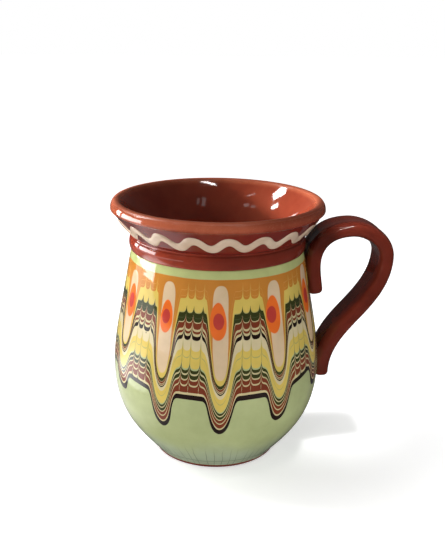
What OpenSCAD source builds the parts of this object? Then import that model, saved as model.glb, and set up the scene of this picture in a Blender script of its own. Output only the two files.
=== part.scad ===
// Hand-thrown slipware mug: a red clay pot, a pressed-on strap handle, a poured slip coat
// and a slip line trailed in waves round the neck.
// Millimetres, +Z up. The origin is the middle of the flat foot, and the handle points along +X.

/* [Pot] */
// Height from the table to the top of the lip
mug_h = 105; // [95:0.5:120]
// Clay radius at the foot
foot_r = 25.6; // [22:0.1:30]
// Rounding of the foot's lower edge
foot_round = 0.8; // [0.3:0.1:2]
// Upright stretch of the foot over its rounding
foot_edge_h = 0.8; // [0.8:0.1:3]
// Angle of the wall as it leaves the foot, from the table
foot_angle = 50; // [40:1:65]
// How far the wall keeps its angle over the foot
foot_curve = 12; // [6:0.5:16]
// Clay radius at the widest place
belly_r = 41.5; // [38:0.1:46]
// Height of the widest place
belly_z = 36.5; // [32:0.5:42]
// How far the wall stays upright under the widest place
belly_curve_low = 18; // [10:0.5:22]
// How far the wall stays upright over the widest place
belly_curve_up = 15; // [8:0.5:22]
// Thickness of the clay wall
wall_t = 4.5; // [3.5:0.1:6]
// Thickness of the floor
floor_t = 6; // [4:0.1:9]
// How far the floor stays level inside, from the middle
floor_curve = 28; // [20:0.5:30]

/* [Neck and lip] */
// How far the neck is drawn in from the widest place of the belly
neck_step = 7.5; // [5:0.1:10]
// Lean of the wall under the neck, from upright
neck_lean = 8; // [2:1:14]
// How far the wall keeps that lean
neck_curve = 20; // [10:0.5:24]
// Height of the plain roll over the belly
roll_h = 4.9; // [3:0.1:7]
// How far the roll swells out
roll_out = 0.6; // [0.2:0.1:1.2]
// Height of the groove over the roll
groove_h = 1.1; // [0.8:0.1:3]
// Depth of the groove
groove_d = 0.5; // [0.2:0.1:1.2]
// Height of the flare from the groove to the lip's edge
flare_h = 10; // [8:0.1:14]
// How far the lip stands out past the widest place of the belly
rim_step = 0.6; // [-2:0.1:4]
// Height of the rounded lip over its edge
lip_h = 3.4; // [2:0.1:5]
// Width of the lip's rounded outer half
lip_round = 2.2; // [1.5:0.1:3]
// Rounding under the lip's edge
lip_soft = 0.8; // [0.3:0.1:1.5]

/* [Slip] */
// Thickness of the slip coat
coat_t = 0.4; // [0.2:0.05:0.8]
// Bare clay between the foot's rounding and the coat
coat_gap = 0.65; // [0.1:0.05:0.7]
// Number of waves in the trailed line
wave_count = 19; // [10:1:24]
// Rise of the line's middle from the middle of a wave to its crest, along the flare
wave_rise = 2; // [1:0.1:2.4]
// Width of the trailed line at a crest, along the flare
wave_w = 4.2; // [2:0.1:5]
// How much wider the line is along the flare where it climbs and falls, as a share
wave_swell = 0.27; // [0:0.01:0.4]
// How much of that the climbs take from the falls, as a share of the width
wave_lean = 0.12; // [0:0.01:0.2]
// Turn of the first crest from the handle
wave_turn = 4.5; // [0:0.5:20]
// Height of the trailed line over the clay
wave_t = 0.5; // [0.2:0.1:1]

/* [Handle] */
// Width of the strap
strap_w = 16.5; // [12:0.5:20]
// Thickness of the strap
strap_t = 6.5; // [5:0.1:8]
// Depth of the flute along the strap's outer face
flute_d = 0.5; // [0.2:0.1:1]
// Width of that flute
flute_w = 10; // [6:0.5:12]
// How deep the strap's tails are pressed on to the wall
strap_sink = 1.4; // [0.8:0.1:2]
// Rounding of the strap's two ends
end_round = 1.5; // [0.8:0.1:2.2]
// Drop from the top of the lip to the top of the handle
handle_drop = 9; // [6:0.5:14]
// How far the handle stands out past the belly
handle_out = 29.8; // [24:0.1:36]
// Distance of the handle's crown from the neck
crown_out = 19.6; // [15:0.1:24]
// Drop from the crown to the place that stands out furthest
shoulder_drop = 11.7; // [9:0.1:16]
// Length of the upper tail below the top of the roll
upper_tail = 22.5; // [16:0.5:28]
// Drop from the top of the roll to where the strap springs off the wall
spring_drop = 3.8; // [2:0.1:6]
// Distance of the strap's middle from the neck there
spring_out = 6; // [5:0.1:8]
// Rise of the strap there, from the level
spring_angle = 57; // [45:1:70]
// Height of the middle of the lower limb
limb_z = 56; // [50:0.5:62]
// Distance of the lower limb's middle from the widest place of the belly
limb_out = 13.7; // [10:0.1:18]
// Slope of the lower limb, from the level
limb_angle = 48; // [40:1:58]
// Height of the end of the lower tail
lower_tail_z = 32; // [26:0.5:38]

/* [Hidden] */
$fn = 96;
CLAY = [0.40, 0.15, 0.10];
PALE_GREEN = [0.69, 0.77, 0.55];
CREAM = [0.90, 0.84, 0.74];

// Steps along one curve of the pot's outline
outline_steps = 14;
// Steps along a short rounding
round_steps = 6;
// Pull of a curve's handles that makes it close to a quarter circle
quarter_pull = 0.55;
// A curve swells to three quarters of its handles' offset, so they stand out this much more
swell_pull = 4/3;
// Share of the roll's height that lies under its first handle
swell_share = 1/4;
// Share of the flare that the inside follows before it turns into the throat
throat_pull = 2/3;
// Pull of a curve's handles along the strap, as a share of the stretch
strap_pull = 0.36;
// Rings along one stretch of the strap, and sides of its section
strap_steps = 9;
strap_sides = 24;
// Squareness of the strap's section: 2 is an ellipse, more is squarer
strap_power = 3.6;
// Share of the flare that lies under the middle of the waves
wave_share = 0.46;
// Stations along one wave
wave_steps = 12;
// Turn between the stations that round an end
end_turn = 30;

// Heights up the pot, from the top down
lip_z = mug_h - lip_h;
flare_z = lip_z - flare_h;
roll_top_z = flare_z - groove_h;
belly_top_z = roll_top_z - roll_h;
// Top of the upright foot, and lower edge of the coat
edge_z = foot_round + foot_edge_h;
coat_z = foot_round + coat_gap;
// Clay radius under the coat at the top of the belly, and of the neck, flush with the coat
neck_r = belly_r - neck_step;
neck_out_r = neck_r + coat_t;
// Outer radius of the lip
rim_r = belly_r + rim_step;

function bezier(p, t) =
    pow(1 - t, 3)*p[0] + 3*pow(1 - t, 2)*t*p[1] + 3*(1 - t)*t*t*p[2] + t*t*t*p[3];
function bezier_dir(p, t) =
    pow(1 - t, 2)*(p[1] - p[0]) + 2*(1 - t)*t*(p[2] - p[1]) + t*t*(p[3] - p[2]);
function curve(p, steps, first = 0) = [for (i = [first:steps]) bezier(p, i/steps)];
function heading(a) = [cos(a), sin(a)];
function reversed(list) = [for (i = [len(list) - 1:-1:0]) list[i]];
function unit(v) = v/norm(v);
// Left-hand normal of a direction in the outline's plane
function left_of(v) = [-v[1], v[0]];

// Outer curves of the belly, from the foot to the widest place and on to the neck
belly_low = [
    [foot_r, edge_z],
    [foot_r, edge_z] + foot_curve*heading(foot_angle),
    [belly_r, belly_z - belly_curve_low],
    [belly_r, belly_z]
];
belly_up = [
    [belly_r, belly_z],
    [belly_r, belly_z + belly_curve_up],
    [neck_r, belly_top_z] - neck_curve*heading(90 + neck_lean),
    [neck_r, belly_top_z]
];
// The stretch of wall that the coat covers
wall_line = concat(
    [[foot_r, coat_z]],
    curve(belly_low, outline_steps),
    curve(belly_up, outline_steps, 1)
);

// The flare, from over the groove to under the lip
flare_foot = [neck_out_r, flare_z];
lip_under = [rim_r - lip_soft, lip_z - lip_soft];
flare_len = norm(lip_under - flare_foot);
flare_dir = unit(lip_under - flare_foot);
flare_out = -left_of(flare_dir);

// Outer outline of the pot, from the middle of the foot up to the top of the lip
foot_arc = [for (i = [0:round_steps])
    [foot_r - foot_round, foot_round] + foot_round*heading(-90 + 90*i/round_steps)];
roll_swell = [roll_out*swell_pull, 0];
roll_line = curve([
    [neck_out_r, belly_top_z],
    [neck_out_r, belly_top_z + roll_h*swell_share] + roll_swell,
    [neck_out_r, roll_top_z - roll_h*swell_share] + roll_swell,
    [neck_out_r, roll_top_z]
], outline_steps/2);
groove_dip = [groove_d*swell_pull, 0];
groove_line = curve([
    [neck_out_r, roll_top_z],
    [neck_out_r, roll_top_z] - groove_dip,
    flare_foot - groove_dip,
    flare_foot
], round_steps, 1);
lip_edge = [rim_r, lip_z];
lip_top = [rim_r - lip_round, mug_h];
lip_under_line = curve([
    lip_under,
    lip_under + lip_soft*quarter_pull*flare_dir,
    lip_edge - [0, lip_soft*quarter_pull],
    lip_edge
], round_steps);
lip_outer_line = curve([
    lip_edge,
    lip_edge + [0, lip_h*quarter_pull],
    lip_top + [lip_round*quarter_pull, 0],
    lip_top
], round_steps, 1);
outer_line = concat(foot_arc, wall_line, roll_line, groove_line, lip_under_line, lip_outer_line);

// Inner outline, from the top of the lip down to the middle of the floor
lip_in = lip_under - wall_t*flare_out;
lip_in_w = lip_top[0] - lip_in[0];
belly_in = [belly_r - wall_t, belly_z];
neck_in = [neck_r - wall_t, belly_top_z];
lip_inner_line = curve([
    lip_top,
    lip_top - [lip_in_w*quarter_pull, 0],
    lip_in + lip_in_w*quarter_pull*flare_dir,
    lip_in
], round_steps, 1);
throat_line = curve([
    lip_in,
    lip_in - flare_len*throat_pull*flare_dir,
    neck_in + [0, roll_h],
    neck_in
], outline_steps, 1);
inner_up_line = curve([
    neck_in,
    neck_in - neck_curve*heading(90 + neck_lean),
    belly_in + [0, belly_curve_up],
    belly_in
], outline_steps, 1);
inner_low_line = curve([
    belly_in,
    belly_in - [0, belly_curve_low],
    [floor_curve, floor_t],
    [0, floor_t]
], outline_steps, 1);
inner_line = concat(lip_inner_line, throat_line, inner_up_line, inner_low_line);

// Outer face of the coat: each corner of the wall moved out square to its two neighbours
function corner_out(i) =
    let (
        before = unit(wall_line[i] - wall_line[i - 1]),
        after = unit(wall_line[i + 1] - wall_line[i]),
        middle = unit(before + after)
    )
    -left_of(middle)/(middle*before);
wall_last = len(wall_line) - 1;
coat_line = concat(
    [wall_line[0] + [coat_t, 0]],
    [for (i = [1:wall_last - 1]) wall_line[i] + coat_t*corner_out(i)],
    [wall_line[wall_last] + [coat_t, 0]]
);
// Radius of the finished belly at a height
function belly_at(z) = lookup(z, [for (p = coat_line) [p[1], p[0]]]);

// Middle line of the strap in the plane of the handle, as stretches between knots
strap_seat = strap_t/2 - strap_sink;
upper_tail_z = roll_top_z - upper_tail;
crown_z = mug_h - handle_drop - strap_t/2;
strap_knots = [
    [belly_at(upper_tail_z) + strap_seat, upper_tail_z],
    [neck_out_r + spring_out, roll_top_z - spring_drop],
    [neck_out_r + crown_out, crown_z],
    [belly_r + handle_out - strap_t/2, crown_z - shoulder_drop],
    [belly_r + limb_out, limb_z],
    [belly_at(lower_tail_z) + strap_seat, lower_tail_z]
];
strap_headings = [90 + neck_lean, spring_angle, 0, -90, limb_angle - 180, -90];
function stretch(i) =
    let (pull = strap_pull*norm(strap_knots[i + 1] - strap_knots[i]))
    [
        strap_knots[i],
        strap_knots[i] + pull*heading(strap_headings[i]),
        strap_knots[i + 1] - pull*heading(strap_headings[i + 1]),
        strap_knots[i + 1]
    ];
// A ring is its middle, its direction and how far its section is drawn in
last_stretch = len(strap_knots) - 2;
strap_run = [
    for (i = [0:last_stretch], j = [(i == 0 ? 0 : 1):strap_steps])
        let (p = stretch(i), t = j/strap_steps)
        [bezier(p, t), unit(bezier_dir(p, t)), 0]
];
function end_ring(ring, side, a) =
    [ring[0] + side*end_round*sin(a)*ring[1], ring[1], end_round*(1 - cos(a))];
strap_rings = concat(
    [for (a = [90:-end_turn:end_turn]) end_ring(strap_run[0], -1, a)],
    strap_run,
    [for (a = [end_turn:end_turn:90]) end_ring(strap_run[len(strap_run) - 1], 1, a)]
);

// Section of the strap: a squared oval with a shallow flute along its outer face
function squared(v) = sign(v)*pow(abs(v), 2/strap_power);
function flute(x) = abs(x) < flute_w/2 ? flute_d*pow(cos(180*x/flute_w), 2) : 0;
function section_point(a, inset) =
    let (
        across = (strap_w/2 - inset)*squared(cos(a)),
        through = (strap_t/2 - inset)*squared(sin(a))
    )
    [across, through - (through > 0 ? flute(across)*(1 - inset/end_round) : 0)];
function strap_point(ring, a) =
    let (s = section_point(a, ring[2]), p = ring[0] + s[1]*left_of(ring[1]))
    [p[0], s[0], p[1]];

// A closed skin over rings of points, flat at both ends
module skin_over(rings, sides) {
    last = len(rings) - 1;
    points = [for (ring = rings) each ring];
    walls = [for (i = [0:last - 1], j = [0:sides - 1])
        let (a = i*sides + j, b = i*sides + (j + 1)%sides)
        each [[a, a + sides, b], [b, a + sides, b + sides]]];
    first_cap = [for (j = [0:sides - 1]) j];
    last_cap = [for (j = [sides - 1:-1:0]) last*sides + j];
    polyhedron(points, concat(walls, [first_cap, last_cap]));
}

// The strap before its tails are shaped to the wall
module strap() {
    skin_over(
        [for (ring = strap_rings) [for (k = [0:strap_sides - 1]) strap_point(ring, 360*k/strap_sides)]],
        strap_sides
    );
}

// The pot's outside as a solid, for seating the handle
module pot_blank() {
    rotate_extrude()
        polygon(concat([[0, 0]], outer_line, [[0, mug_h]]));
}

module body() {
    color(CLAY)
        rotate_extrude()
            polygon(concat([[0, 0]], outer_line, inner_line));
}

module handle() {
    color(CLAY)
        difference() {
            strap();
            pot_blank();
        }
}

module slip_coat() {
    color(PALE_GREEN)
        difference() {
            rotate_extrude()
                polygon(concat(wall_line, reversed(coat_line)));
            strap();
        }
}

// The trailed line: a low rounded bead that follows a wave along the flare
wave_stations = wave_count*wave_steps;
// Keeps the bead's straight facets just outside the round clay
wave_lift = 1/cos(360/wave_stations);
wave_mid = flare_len*wave_share;
// Section of the bead, as shares of its width across and of its height up
wave_section = [[-0.5, 0], [-0.35, 0.75], [0, 1], [0.35, 0.75], [0.5, 0]];
function wave_point(i, s) =
    let (
        phase = 360*i/wave_steps,
        width = wave_w*(1 + wave_swell*pow(sin(phase), 2) - wave_lean*sin(phase)),
        along = wave_mid + wave_rise*cos(phase) + s[0]*width,
        turn = wave_turn + phase/wave_count,
        p = flare_foot + along*flare_dir + s[1]*wave_t*flare_out,
        r = p[0]*wave_lift
    )
    [r*cos(turn), r*sin(turn), p[1]];

module wave_trail() {
    sides = len(wave_section);
    points = [for (i = [0:wave_stations - 1], s = wave_section) wave_point(i, s)];
    faces = [for (i = [0:wave_stations - 1], j = [0:sides - 1])
        let (
            next = (i + 1)%wave_stations,
            a = i*sides + j,
            b = i*sides + (j + 1)%sides,
            c = next*sides + j,
            d = next*sides + (j + 1)%sides
        )
        each [[a, b, c], [b, d, c]]];
    color(CREAM)
        polyhedron(points, faces);
}

body();
handle();
slip_coat();
wave_trail();
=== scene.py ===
"""A slipware mug: a glazed pot, a strap handle, a slip coat with combed drips and a trailed wave."""
import math

import bpy
from mathutils import Matrix, Vector


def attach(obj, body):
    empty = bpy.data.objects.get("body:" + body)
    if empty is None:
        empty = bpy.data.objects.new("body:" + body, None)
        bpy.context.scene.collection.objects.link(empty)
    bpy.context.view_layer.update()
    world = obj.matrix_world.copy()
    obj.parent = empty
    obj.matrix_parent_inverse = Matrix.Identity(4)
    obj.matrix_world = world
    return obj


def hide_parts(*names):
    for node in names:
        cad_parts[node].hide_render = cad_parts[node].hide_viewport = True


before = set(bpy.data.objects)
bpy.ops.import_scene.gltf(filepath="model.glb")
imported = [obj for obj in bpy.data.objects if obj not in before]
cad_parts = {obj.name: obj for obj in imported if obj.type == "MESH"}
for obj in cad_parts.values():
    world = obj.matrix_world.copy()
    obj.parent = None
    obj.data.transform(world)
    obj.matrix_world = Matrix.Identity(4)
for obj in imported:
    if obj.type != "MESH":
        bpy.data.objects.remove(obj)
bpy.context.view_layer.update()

MM = 0.001

# Sizes in millimetres and degrees, as the frame has them
MUG_H = 105
# The foot: its radius, its rounded edge, the upright stretch over that, and how the wall leaves it
FOOT_R, FOOT_ROUND, FOOT_EDGE_H, FOOT_ANGLE, FOOT_CURVE = 25.6, 0.8, 0.8, 50, 12
# The belly: its greatest radius and the height of that, and how far its curve reaches down and up
BELLY_R, BELLY_Z, BELLY_CURVE_LOW, BELLY_CURVE_UP = 41.5, 36.5, 18, 15
# The wall, the floor, and how far the floor's curve reaches
WALL_T, FLOOR_T, FLOOR_CURVE = 4.5, 6, 28
# The neck: its radius under the roll, its lean, and how far its curve reaches
NECK_R, NECK_LEAN, NECK_CURVE = 34, 8, 20
# The roll's height and how far it stands out, and the height and depth of the groove over it
ROLL_H, ROLL_OUT, GROOVE_H, GROOVE_D = 4.9, 0.6, 1.1, 0.5
# The flare's height, the rim's radius, and the lip: its height, the round of its top and of its underside
FLARE_H, RIM_R, LIP_H, LIP_ROUND, LIP_SOFT = 10, 42.08, 3.4, 2.2, 0.8
# The coat's thickness, and the gap between it and the foot's rounded edge
COAT_T, COAT_GAP = 0.4, 0.65
# The waves: how many, how far they swing, the line's width, what it gains on both slopes and on one of them
WAVE_COUNT, WAVE_RISE, WAVE_W, WAVE_SWELL, WAVE_LEAN = 19, 2, 4.2, 0.27, 0.12
# Where the first wave is, the line's thickness, and how far up the flare it lies
WAVE_TURN, WAVE_T, WAVE_SHARE = 4.5, 0.5, 0.46
# The strap: its width and thickness, the depth and width of its flute, how deep it is pressed in, and the
# round of its ends
STRAP_W, STRAP_T, FLUTE_D, FLUTE_W, STRAP_SINK, END_ROUND = 16.5, 6.5, 0.5, 10, 1.4, 1.5
# The handle: how far its top lies under the rim, how far it and its crown stand out, and how far its
# outermost point lies under the crown
HANDLE_DROP, HANDLE_OUT, CROWN_OUT, SHOULDER_DROP = 9, 29.78, 19.6, 11.7
# The end of the upper tail under the roll, and where and how steeply the strap springs off the neck
UPPER_TAIL, SPRING_DROP, SPRING_OUT, SPRING_ANGLE = 22.5, 3.8, 6, 57
# A place on the lower limb and its slope there, and the end of the lower tail
LIMB_Z, LIMB_OUT, LIMB_ANGLE, LOWER_TAIL_Z = 56, 13.7, 48, 32
# How far the curves are pulled: quarter rounds, the roll and the groove, the throat and the strap
QUARTER_PULL, SWELL_PULL, SWELL_SHARE, THROAT_PULL, STRAP_PULL = 0.55, 4/3, 1/4, 2/3, 0.36
# How square the strap's section is, where 2 is an oval
STRAP_POWER = 3.6

LIP_Z = MUG_H - LIP_H
FLARE_Z = LIP_Z - FLARE_H
ROLL_TOP_Z = FLARE_Z - GROOVE_H
BELLY_TOP_Z = ROLL_TOP_Z - ROLL_H
EDGE_Z = FOOT_ROUND + FOOT_EDGE_H
COAT_Z = FOOT_ROUND + COAT_GAP
NECK_OUT_R = NECK_R + COAT_T

# Fineness of the meshes
SIDES = 160
CURVE_STEPS = 30
ROUND_STEPS = 8


def vec(*values):
    return Vector(values)


def heading(degrees):
    return vec(math.cos(math.radians(degrees)), math.sin(math.radians(degrees)))


def left_of(v):
    return vec(-v.y, v.x)


def bezier(p, t):
    return (1 - t)**3*p[0] + 3*(1 - t)**2*t*p[1] + 3*(1 - t)*t*t*p[2] + t**3*p[3]


def bezier_dir(p, t):
    return ((1 - t)**2*(p[1] - p[0]) + 2*(1 - t)*t*(p[2] - p[1]) + t*t*(p[3] - p[2])).normalized()


def curve(p, steps, first=0):
    return [bezier(p, i/steps) for i in range(first, steps + 1)]


# The pot's outline, each point a radius and a height
FLARE_FOOT = vec(NECK_OUT_R, FLARE_Z)
LIP_UNDER = vec(RIM_R - LIP_SOFT, LIP_Z - LIP_SOFT)
FLARE_LEN = (LIP_UNDER - FLARE_FOOT).length
FLARE_DIR = (LIP_UNDER - FLARE_FOOT).normalized()
FLARE_OUT = -left_of(FLARE_DIR)


def wall_line():
    """The stretch of wall under the coat, from the foot to the neck."""
    foot, belly, neck = vec(FOOT_R, EDGE_Z), vec(BELLY_R, BELLY_Z), vec(NECK_R, BELLY_TOP_Z)
    low = [foot, foot + FOOT_CURVE*heading(FOOT_ANGLE), belly - vec(0, BELLY_CURVE_LOW), belly]
    up = [belly, belly + vec(0, BELLY_CURVE_UP), neck - NECK_CURVE*heading(90 + NECK_LEAN), neck]
    return [vec(FOOT_R, COAT_Z)] + curve(low, CURVE_STEPS) + curve(up, CURVE_STEPS, 1)


def coat_line(wall):
    """The wall line moved out by the coat, square to it."""
    out = [wall[0] + vec(COAT_T, 0)]
    for i in range(1, len(wall) - 1):
        before = (wall[i] - wall[i - 1]).normalized()
        after = (wall[i + 1] - wall[i]).normalized()
        middle = (before + after).normalized()
        out.append(wall[i] - COAT_T/middle.dot(before)*left_of(middle))
    return out + [wall[-1] + vec(COAT_T, 0)]


def outer_line(wall):
    """The pot's outside, from the foot's edge to the top of the lip."""
    foot = [vec(FOOT_R - FOOT_ROUND, FOOT_ROUND) + FOOT_ROUND*heading(-90 + 90*i/ROUND_STEPS)
            for i in range(ROUND_STEPS + 1)]
    swell = vec(ROLL_OUT*SWELL_PULL, 0)
    roll_foot, roll_top = vec(NECK_OUT_R, BELLY_TOP_Z), vec(NECK_OUT_R, ROLL_TOP_Z)
    rise = vec(0, ROLL_H*SWELL_SHARE)
    roll = curve([roll_foot, roll_foot + rise + swell, roll_top - rise + swell, roll_top], CURVE_STEPS//2)
    dip = vec(GROOVE_D*SWELL_PULL, 0)
    groove = curve([roll_top, roll_top - dip, FLARE_FOOT - dip, FLARE_FOOT], ROUND_STEPS, 1)
    flare = [FLARE_FOOT.lerp(LIP_UNDER, i/ROUND_STEPS) for i in range(1, ROUND_STEPS)]
    edge, top = vec(RIM_R, LIP_Z), vec(RIM_R - LIP_ROUND, MUG_H)
    under = curve([LIP_UNDER, LIP_UNDER + LIP_SOFT*QUARTER_PULL*FLARE_DIR,
                   edge - vec(0, LIP_SOFT*QUARTER_PULL), edge], ROUND_STEPS)
    lip = curve([edge, edge + vec(0, LIP_H*QUARTER_PULL),
                 top + vec(LIP_ROUND*QUARTER_PULL, 0), top], ROUND_STEPS, 1)
    return foot + wall + roll + groove + flare + under + lip


def inner_line():
    """The pot's inside, from the top of the lip to the middle of the floor."""
    top = vec(RIM_R - LIP_ROUND, MUG_H)
    lip_in = LIP_UNDER - WALL_T*FLARE_OUT
    width = top.x - lip_in.x
    belly, neck = vec(BELLY_R - WALL_T, BELLY_Z), vec(NECK_R - WALL_T, BELLY_TOP_Z)
    lip = curve([top, top - vec(width*QUARTER_PULL, 0), lip_in + width*QUARTER_PULL*FLARE_DIR, lip_in],
                ROUND_STEPS, 1)
    throat = curve([lip_in, lip_in - FLARE_LEN*THROAT_PULL*FLARE_DIR, neck + vec(0, ROLL_H), neck],
                   CURVE_STEPS//2, 1)
    up = curve([neck, neck - NECK_CURVE*heading(90 + NECK_LEAN), belly + vec(0, BELLY_CURVE_UP), belly],
               CURVE_STEPS//2, 1)
    low = curve([belly, belly - vec(0, BELLY_CURVE_LOW), vec(FLOOR_CURVE, FLOOR_T), vec(0, FLOOR_T)],
                CURVE_STEPS, 1)
    return lip + throat + up + low


def make_object(name, points, faces):
    """A smooth mesh object from points in millimetres."""
    mesh = bpy.data.meshes.new(name)
    mesh.from_pydata([p*MM for p in points], [], faces)
    mesh.validate()
    mesh.update()
    mesh.shade_smooth()
    ob = bpy.data.objects.new(name, mesh)
    bpy.context.scene.collection.objects.link(ob)
    return ob


def ring_faces(rows, sides, closed):
    """Quads between rows of points, and between the last row and the first if closed."""
    faces = []
    for i in range(rows if closed else rows - 1):
        a, b = i*sides, (i + 1) % rows*sides
        for j in range(sides):
            k = (j + 1) % sides
            faces.append((a + j, a + k, b + k, b + j))
    return faces


def turned(outline):
    """Points of an outline turned round the axis, row by row."""
    points = []
    for p in outline:
        for j in range(SIDES):
            a = 2*math.pi*j/SIDES
            points.append(vec(p.x*math.cos(a), p.x*math.sin(a), p.y))
    return points


def make_pot():
    wall = wall_line()
    outline = outer_line(wall) + inner_line()[:-1]
    points = turned(outline)
    faces = ring_faces(len(outline), SIDES, False)
    # The middles of the foot and of the floor
    last = (len(outline) - 1)*SIDES
    foot, floor = len(points), len(points) + 1
    points += [vec(0, 0, 0), vec(0, 0, FLOOR_T)]
    for j in range(SIDES):
        k = (j + 1) % SIDES
        faces.append((foot, k, j))
        faces.append((floor, last + j, last + k))
    return make_object("clay_pot", points, faces)


# Share of the coat's map that its outer face takes
COAT_MAP_SHARE = 0.96
# The coat's upper edge: how far down it is rounded, by how much, and how sharply
COAT_EDGE_H, COAT_EDGE_IN, COAT_EDGE_POWER = 5, 0.38, 1.4


def rounded_edge(coat):
    """The coat's line with its upper edge rounded in under the roll."""
    top, up = coat[-1], heading(90 + NECK_LEAN)
    edge = [top - COAT_EDGE_H*(1 - i/ROUND_STEPS)*up - vec(COAT_EDGE_IN*(i/ROUND_STEPS)**COAT_EDGE_POWER, 0)
            for i in range(ROUND_STEPS + 1)]
    return [p for p in coat if p.y < edge[0].y - COAT_EDGE_IN] + edge


def make_coat():
    wall = wall_line()
    coat = rounded_edge(coat_line(wall))
    outline = coat + wall[::-1]
    ob = make_object("green_slip", turned(outline), ring_faces(len(outline), SIDES, True))
    outer = [COAT_MAP_SHARE*i/(len(coat) - 1) for i in range(len(coat))]
    inner = [COAT_MAP_SHARE + (1 - COAT_MAP_SHARE)*(i + 1)/(len(wall) + 1) for i in range(len(wall) + 1)]
    unroll(ob.data, outer + inner)
    return ob


def unroll(mesh, heights):
    """A map of turned faces: round the axis across the square, and up it at each row's height."""
    spots = mesh.uv_layers.new(name="OFBake").data
    for face in mesh.polygons:
        row, column = divmod(face.index, SIDES)
        for loop, (up, along) in zip(face.loop_indices, ((0, 0), (0, 1), (1, 1), (1, 0))):
            spots[loop].uv = ((column + along)/SIDES, heights[row + up])


def belly_at(z):
    """Radius of the finished belly at a height."""
    line = coat_line(wall_line())
    for p, q in zip(line, line[1:]):
        if p.y <= z <= q.y:
            return p.x + (q.x - p.x)*(z - p.y)/(q.y - p.y)


# The strap's rings from knot to knot, the points of a ring, and the rings of a rounded end
STRAP_STEPS = 20
STRAP_SIDES = 48
END_STEPS = 6


def strap_rings():
    """Rings along the strap: the middle, the direction and how far the section is drawn in."""
    seat = STRAP_T/2 - STRAP_SINK
    upper_z = ROLL_TOP_Z - UPPER_TAIL
    crown_z = MUG_H - HANDLE_DROP - STRAP_T/2
    knots = [
        vec(belly_at(upper_z) + seat, upper_z),
        vec(NECK_OUT_R + SPRING_OUT, ROLL_TOP_Z - SPRING_DROP),
        vec(NECK_OUT_R + CROWN_OUT, crown_z),
        vec(BELLY_R + HANDLE_OUT - STRAP_T/2, crown_z - SHOULDER_DROP),
        vec(BELLY_R + LIMB_OUT, LIMB_Z),
        vec(belly_at(LOWER_TAIL_Z) + seat, LOWER_TAIL_Z),
    ]
    turns = [heading(a) for a in (90 + NECK_LEAN, SPRING_ANGLE, 0, -90, LIMB_ANGLE - 180, -90)]
    rings = []
    for i in range(len(knots) - 1):
        pull = STRAP_PULL*(knots[i + 1] - knots[i]).length
        p = [knots[i], knots[i] + pull*turns[i], knots[i + 1] - pull*turns[i + 1], knots[i + 1]]
        rings += [(bezier(p, j/STRAP_STEPS), bezier_dir(p, j/STRAP_STEPS), 0)
                  for j in range(0 if i == 0 else 1, STRAP_STEPS + 1)]

    def end(ring, side, step):
        a = math.pi/2*step/END_STEPS
        return ring[0] + side*END_ROUND*math.sin(a)*ring[1], ring[1], END_ROUND*(1 - math.cos(a))
    first = [end(rings[0], -1, k) for k in range(END_STEPS, 0, -1)]
    last = [end(rings[-1], 1, k) for k in range(1, END_STEPS + 1)]
    return first + rings + last


def strap_point(ring, a):
    middle, way, inset = ring

    def squared(v):
        return math.copysign(abs(v)**(2/STRAP_POWER), v)
    across = (STRAP_W/2 - inset)*squared(math.cos(a))
    through = (STRAP_T/2 - inset)*squared(math.sin(a))
    if through > 0 and abs(across) < FLUTE_W/2:
        through -= FLUTE_D*math.cos(math.pi*across/FLUTE_W)**2*(1 - inset/END_ROUND)
    p = middle + through*left_of(way)
    return vec(p.x, across, p.y)


def make_handle():
    rings = strap_rings()
    points = [strap_point(r, 2*math.pi*k/STRAP_SIDES) for r in rings for k in range(STRAP_SIDES)]
    faces = [f[::-1] for f in ring_faces(len(rings), STRAP_SIDES, False)]
    last = (len(rings) - 1)*STRAP_SIDES
    faces.append(tuple(range(STRAP_SIDES)))
    faces.append(tuple(last + k for k in reversed(range(STRAP_SIDES))))
    return make_object("strap_handle", points, faces)


# The trailed line: steps to a wave, steps across, how deep it is bedded, and how square and how full its
# bead is
WAVE_STEPS = 24
WAVE_PROFILE = 10
WAVE_BED = -0.05
BEAD_POWER, BEAD_FULL = 3.5, 0.7


def make_wave():
    """The trailed line, a low rounded bead laid on the flare."""
    stations = WAVE_COUNT*WAVE_STEPS
    shares = [-0.5*math.cos(math.pi*k/WAVE_PROFILE) for k in range(WAVE_PROFILE + 1)]
    points = []
    for i in range(stations):
        phase = 2*math.pi*i/WAVE_STEPS
        turn = math.radians(WAVE_TURN) + phase/WAVE_COUNT
        middle = FLARE_LEN*WAVE_SHARE + WAVE_RISE*math.cos(phase)
        width = WAVE_W*(1 + WAVE_SWELL*math.sin(phase)**2 - WAVE_LEAN*math.sin(phase))
        for s in shares:
            height = max(0, 1 - abs(2*s)**BEAD_POWER)**BEAD_FULL*WAVE_T + WAVE_BED
            p = FLARE_FOOT + (middle + s*width)*FLARE_DIR + height*FLARE_OUT
            points.append(vec(p.x*math.cos(turn), p.x*math.sin(turn), p.y))
    faces = [f[::-1] for f in ring_faces(stations, len(shares), True)]
    return make_object("cream_wave", points, faces)


def colour(r, g, b):
    """A colour given as on a screen, 0 to 255, for a shader."""
    def linear(c):
        c /= 255
        return c/12.92 if c <= 0.04045 else ((c + 0.055)/1.055)**2.4
    return linear(r), linear(g), linear(b), 1


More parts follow.
